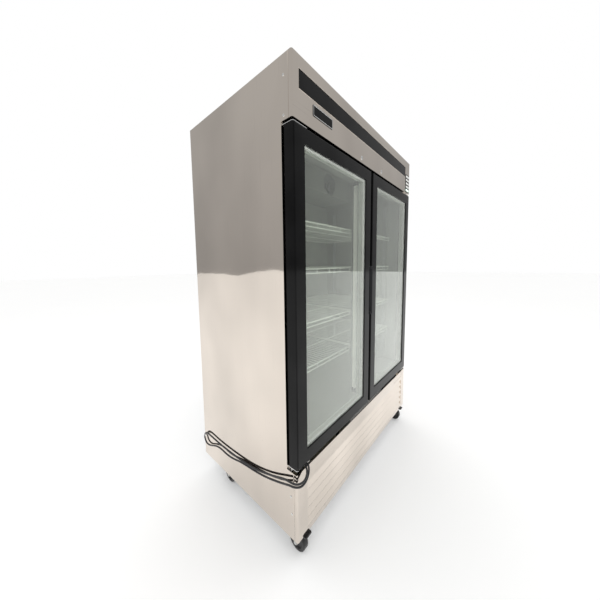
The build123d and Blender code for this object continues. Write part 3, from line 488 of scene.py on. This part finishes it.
def make_surroundings():
    bpy.ops.mesh.primitive_uv_sphere_add(segments=96, ring_count=96, radius=DOME)
    dome = bpy.context.active_object
    dome.name = "surroundings"
    dome.location = (0, 0, EYE)
    dome.data.materials.append(dome_material())
    hide_from_all_but_gloss(dome)


def make_stage():
    make_world()
    make_floor()
    make_surroundings()
    for light in LIGHTS:
        soft_light(*light)
    scene = bpy.context.scene
    scene.view_settings.view_transform = "Standard"
    scene.cycles.use_denoising = True
    scene.cycles.transparent_max_bounces = 24
    scene.cycles.max_bounces = 10


# ---------------------------------------------------------------- mesh helpers

def add_piece(name, mesh, material, body):
    mesh.materials.append(material)
    piece = add_object(name, mesh)
    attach(piece, body)
    return piece


def finish_mesh(name, bm, smooth_angle=35):
    """Turns a bmesh into a mesh with outward normals, smooth below the given edge angle."""
    bmesh.ops.recalc_face_normals(bm, faces=bm.faces[:])
    for face in bm.faces:
        face.smooth = True
    for edge in bm.edges:
        edge.smooth = len(edge.link_faces) == 2 and edge.calc_face_angle(0) < math.radians(smooth_angle)
    mesh = bpy.data.meshes.new(name)
    bm.to_mesh(mesh)
    bm.free()
    return mesh


def boxes_mesh(name, boxes, bevel=0.0005, segments=2):
    """One mesh of soft-edged boxes, each a pair of lowest and highest corners."""
    bm = bmesh.new()
    for low, high in boxes:
        low, high = Vector(low), Vector(high)
        corners = bmesh.ops.create_cube(bm, size=1.0)["verts"]
        bmesh.ops.scale(bm, vec=high - low, verts=corners)
        bmesh.ops.translate(bm, vec=(high + low) / 2, verts=corners)
    bmesh.ops.bevel(bm, geom=bm.edges[:], offset=bevel, segments=segments, affect="EDGES", profile=0.5)
    return finish_mesh(name, bm)


def skin(bm, loops):
    """Joins closed loops of corners with quads, the last loop back to the first."""
    for first, second in zip(loops, loops[1:] + loops[:1]):
        for k in range(len(first)):
            after = (k + 1) % len(first)
            bm.faces.new((first[k], first[after], second[after], second[k]))


def ring_mesh(name, x, z, profile):
    """A mitred frame round a rectangle in XZ; profile is a closed loop of (inset, y) points."""
    bm = bmesh.new()
    loops = []
    for corner_x, way_x, corner_z, way_z in (
        (x[0], 1, z[0], 1), (x[1], -1, z[0], 1), (x[1], -1, z[1], -1), (x[0], 1, z[1], -1),
    ):
        loops.append([bm.verts.new((corner_x + way_x * i, y, corner_z + way_z * i)) for i, y in profile])
    skin(bm, loops)
    return finish_mesh(name, bm)


def lathe_mesh(name, profile, place, axis, segments=48):
    """A turned shape: profile is (distance along the axis, radius) points, closed on itself."""
    bm = bmesh.new()
    along = Vector(axis).normalized()
    out = along.orthogonal().normalized()
    rings = []
    for number in range(segments):
        spoke = Matrix.Rotation(2 * math.pi * number / segments, 3, along) @ out
        rings.append([bm.verts.new(Vector(place) + along * t + spoke * r) for t, r in profile])
    skin(bm, rings)
    return finish_mesh(name, bm)


def arc(centre, radius, start, end, steps):
    """Points of a circular arc in a profile's plane, angles in degrees."""
    turns = [math.radians(start + (end - start) * k / steps) for k in range(steps + 1)]
    return [(centre[0] + radius * math.cos(a), centre[1] + radius * math.sin(a)) for a in turns]


# ---------------------------------------------------------------- detail pieces

def half_round(inset, y, radius):
    """A low rounded bead that stands forward of plane y."""
    bead = [(inset + i, y - j) for i, j in arc((0, 0), radius, 0, 180, 6)]
    return bead + [(inset - radius, y + BEAD_SINK), (inset + radius, y + BEAD_SINK)]


def make_header_trim(steel, bright):
    """Thin rolled edge round the black strip's window and a polished rim round the badge plate."""
    low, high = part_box("header_strip")
    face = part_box("header_panel")[0].y
    window_x = (low.x + STRIP_LAP, high.x - STRIP_LAP_RIGHT)
    window_z = (low.z + STRIP_LAP, high.z - STRIP_LAP)
    profile = half_round(0.0, face, STRIP_EDGE)
    add_piece("strip_trim", ring_mesh("strip_trim", window_x, window_z, profile), steel, CABINET)
    low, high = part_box("badge_plate")
    profile = half_round(2 * BADGE_EDGE, low.y, BADGE_EDGE)
    badge = ring_mesh("badge_rim", (low.x, high.x), (low.z, high.z), profile)
    add_piece("badge_rim", badge, bright, CABINET)


def make_glazing_beads(rubber):
    """Soft black bead where each door's front pane meets its frame."""
    for side in SIDES:
        low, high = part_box(f"door_frame_{side}")
        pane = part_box(f"door_glass_{side}")[0].y
        profile = [
            (RAIL - 0.001, pane - 0.0001), (RAIL - 0.001, pane - 0.0022), (RAIL + 0.0003, pane - 0.0020),
            (RAIL + 0.0010, pane - 0.0012), (RAIL + 0.0012, pane - 0.0001),
        ]
        mesh = ring_mesh(f"glazing_bead_{side}", (low.x, high.x), (low.z, high.z), profile)
        add_piece(f"glazing_bead_{side}", mesh, rubber, f"{side}_door")


def make_wheels(tread, hub):
    """Turned tyres and hubs on the CAD axles, in place of the plain wheels."""
    for place in ("front", "rear"):
        for side in SIDES:
            node = f"caster_wheel_{place}_{side}"
            low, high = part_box(node)
            middle = (low + high) / 2
            radius = (high.z - low.z) / 2
            half = (high.x - low.x) / 2
            inner = radius * TYRE_INNER
            shoulder = arc((half - TYRE_ROUND, radius - TYRE_ROUND), TYRE_ROUND, 0, 90, 5)
            crown = shoulder + [(0.0, radius)] + [(-t, r) for t, r in reversed(shoulder)]
            lip, step = 0.002, 0.001
            seat = [(-half, inner), (-half + lip, inner - step), (half - lip, inner - step), (half, inner)]
            mesh = lathe_mesh(f"tyre_{place}_{side}", crown + seat, middle, (1, 0, 0))
            piece = add_piece(f"tyre_{place}_{side}", mesh, tread, f"{place}_{side}_wheel")
            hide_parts(node)
            web = [
                (half - 0.002, inner), (half - 0.0015, inner * 0.93), (half - 0.006, inner * 0.86),
                (half - 0.006, inner * 0.42), (half - 0.001, inner * 0.36), (half - 0.001, HUB_BORE),
            ]
            profile = web + [(-t, r) for t, r in reversed(web)]
            mesh = lathe_mesh(f"hub_{place}_{side}", profile, middle, (1, 0, 0))
            add_piece(f"hub_{place}_{side}", mesh, hub, f"{place}_{side}_wheel")


def make_gland(plastic):
    """Collar, nut and tapered ribbed sleeve that the cord leaves the electrical box by."""
    low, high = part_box("cord_gland")
    middle = (low + high) / 2
    collar = high.x - middle.x
    length = high.y - low.y
    profile = [(0.0, 0.0044), (0.0, 0.0062)]
    for number in range(GLAND_RIBS):
        start = 0.001 + number * GLAND_PITCH
        radius = 0.0064 + number * 0.0003
        profile += [(start, radius), (start + 0.003, radius), (start + 0.0034, radius - 0.0009),
                    (start + GLAND_PITCH - 0.0004, radius - 0.0009)]
    profile += [(0.036, 0.0085), (0.040, 0.0088), (0.040, collar - 0.001), (0.041, collar), (0.046, collar),
                (0.047, collar - 0.001), (0.047, 0.0078), (length, 0.0078), (length, 0.0044)]
    mesh = lathe_mesh("gland_sleeve", profile, (middle.x, low.y, middle.z), (0, 1, 0), 32)
    piece = add_piece("gland_sleeve", mesh, plastic, CABINET)
    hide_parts("cord_gland")


def make_hems(steel):
    """Narrow folded hems where the header and grille flanges meet the left and right panels."""
    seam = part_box("side_panel_left")[0].y
    boxes = []
    for node in ("header_panel", "grille_panel"):
        low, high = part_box(node)
        for x, way in ((low.x, -1), (high.x, 1)):
            proud = x + way * HEM_PROUD
            rear = seam + HEM_END
            boxes.append((
                (min(x, proud), rear - HEM_WIDTH, low.z + HEM_END), (max(x, proud), rear, high.z - HEM_END),
            ))
    add_piece("flange_hems", boxes_mesh("flange_hems", boxes, 0.00035), steel, CABINET)


def make_key_marks(ink):
    """Plain raised marks on the four keys: up, down, a dot and a bar."""
    marks = (
        [(-0.004, -0.0025), (0.004, -0.0025), (0.0, 0.003)],
        [(-0.004, 0.0025), (0.0, -0.003), (0.004, 0.0025)],
        [(0.003 * math.cos(a), 0.003 * math.sin(a)) for a in [k * math.pi / 8 for k in range(16)]],
        [(-0.005, -0.0011), (0.005, -0.0011), (0.005, 0.0011), (-0.005, 0.0011)],
    )
    for number, outline in enumerate(marks, 1):
        low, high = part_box(f"control_key_{number}")
        middle = (low + high) / 2
        bm = bmesh.new()
        back = [bm.verts.new((middle.x + x, low.y + MARK_SINK, middle.z + z)) for x, z in outline]
        front = [bm.verts.new((middle.x + x, low.y - MARK_PROUD, middle.z + z)) for x, z in outline]
        bm.faces.new(front)
        bm.faces.new(list(reversed(back)))
        for k in range(len(outline)):
            after = (k + 1) % len(outline)
            bm.faces.new((front[k], front[after], back[after], back[k]))
        mesh = finish_mesh(f"key_mark_{number}", bm)
        add_piece(f"key_mark_{number}", mesh, ink, f"key_{number}")


# ---------------------------------------------------------------- dressing the CAD nodes

def dress_cabinet():
    # Both steels take the warm tint, which is partly painted reflection of the room.
    side = brushed_steel("side_steel", STEEL_AND_WARM_REFLECTION, (260, 260, 3.0), 0.004)
    front = brushed_steel("front_steel", STEEL_AND_WARM_REFLECTION, (3.0, 260, 260), 0.002)
    dress("side_panel_left", side)
    dress("side_panel_right", side)
    for node in ("header_panel", "grille_panel", "access_plate"):
        dress(node, front)
    galvanised = speckled("galvanised", (0.56, 0.57, 0.58), 0.42, 0.9, 60.0, 0.0001, 0.14)
    for node in ("back_panel", "top_panel", "base_pan", "electrical_box", "shelf_supports"):
        dress(node, galvanised)
    bright = speckled("bright_metal", (0.80, 0.80, 0.79), 0.16, 1.0, 500.0, 0.00002, 0.05)
    for node in ("panel_screws", "hinge_brackets", "lock_left", "lock_right", "cord_peg"):
        dress(node, bright)
    black = (0.0015, 0.0015, 0.0017)
    gloss = speckled("gloss_black", black, 0.10, 0.0, 300.0, 0.00002, 0.3, Specular_IOR_Level=0.15)
    for node in (
        "header_strip", "badge_plate", "controller_case", "face_frame", "door_frame_left", "door_frame_right",
    ):
        dress(node, gloss)
    matte = speckled("matte_black", (0.03, 0.03, 0.032), 0.5, 0.0, 700.0, 0.00006, 0.15)
    for node in ("finger_pull_left", "finger_pull_right", "cord_gland", "mains_plug"):
        dress(node, matte)
    rubber = speckled("seal_rubber", (0.035, 0.035, 0.036), 0.6, 0.0, 500.0, 0.00005, 0.15)
    dress("door_gasket_left", rubber)
    dress("door_gasket_right", rubber)
    dress("insulation", speckled("foam", (0.80, 0.70, 0.42), 0.9, 0.0, 250.0, 0.0006, 0.12))


def dress_doors():
    glass = glass_material()
    trim = speckled("white_trim", (0.95, 0.95, 0.93), 0.3, 0.0, 300.0, 0.00003, 0.05)
    for side in SIDES:
        dress(f"door_glass_{side}", glass)
        dress(f"glazing_trim_{side}", trim)


def dress_inside():
    # The liner's grey is partly its own tone and partly painted shade: darker than the white liner, so that
    # the inside reads dim.
    liner = speckled("liner", (0.40, 0.40, 0.38), 0.34, 0.0, 120.0, 0.00008, 0.05)
    dress("inner_liner", liner)
    dress("evaporator_cover", liner)
    wire = speckled("coated_wire", (0.90, 0.90, 0.87), 0.32, 0.0, 500.0, 0.00005, 0.08)
    dress("shelves_left", wire)
    dress("shelves_right", wire)
    dress("light_bars", glowing("lamp_cover", (1.0, 0.97, 0.88), 0.12))
    fins = finned_material("coil_fins", 0.004)
    dress("evaporator_coil", fins)
    dress("condenser_unit", fins)
    fan = speckled("fan_plastic", (0.05, 0.05, 0.055), 0.4)
    dress("evaporator_fan_left", fan)
    dress("evaporator_fan_right", fan)
    dress("condenser_fan", speckled("fan_metal", (0.6, 0.61, 0.62), 0.35, 0.9))
    dress("compressor", speckled("compressor_paint", (0.02, 0.02, 0.022), 0.28, 0.0, 40.0, 0.0003, 0.2))
    dress("controller_display", glowing("display_glow", (0.55, 0.95, 0.70), 0.9))
    key = speckled("key_cap", (0.80, 0.80, 0.77), 0.35)
    for number in range(1, 5):
        dress(f"control_key_{number}", key)


def dress_casters():
    zinc = speckled("zinc", (0.62, 0.62, 0.60), 0.3, 1.0, 90.0, 0.0001, 0.15)
    pedal = speckled("pedal_paint", (0.018, 0.018, 0.019), 0.22, 0.0, 200.0, 0.00005, 0.2)
    tread = speckled("tread", (0.008, 0.008, 0.0085), 0.34, 0.0, 260.0, 0.0002, 0.25)
    dress("caster_plates", zinc)
    for side in SIDES:
        dress(f"caster_brake_{side}", pedal)
        for place in ("front", "rear"):
            dress(f"caster_fork_{place}_{side}", zinc)
            dress(f"caster_wheel_{place}_{side}", tread)


make_camera()
jacket = speckled("cord_jacket", (0.022, 0.022, 0.024), 0.38, 0.0, 900.0, 0.00005, 0.2)
make_cord(jacket)
make_stage()
dress_cabinet()
dress_doors()
dress_inside()
dress_casters()
look = bpy.data.materials
make_header_trim(look["front_steel"], look["bright_metal"])
make_glazing_beads(look["seal_rubber"])
make_wheels(look["tread"], speckled("hub_plastic", (0.03, 0.03, 0.032), 0.42, 0.0, 300.0, 0.00008, 0.15))
make_gland(look["matte_black"])
make_hems(look["side_steel"])
make_key_marks(look["matte_black"])
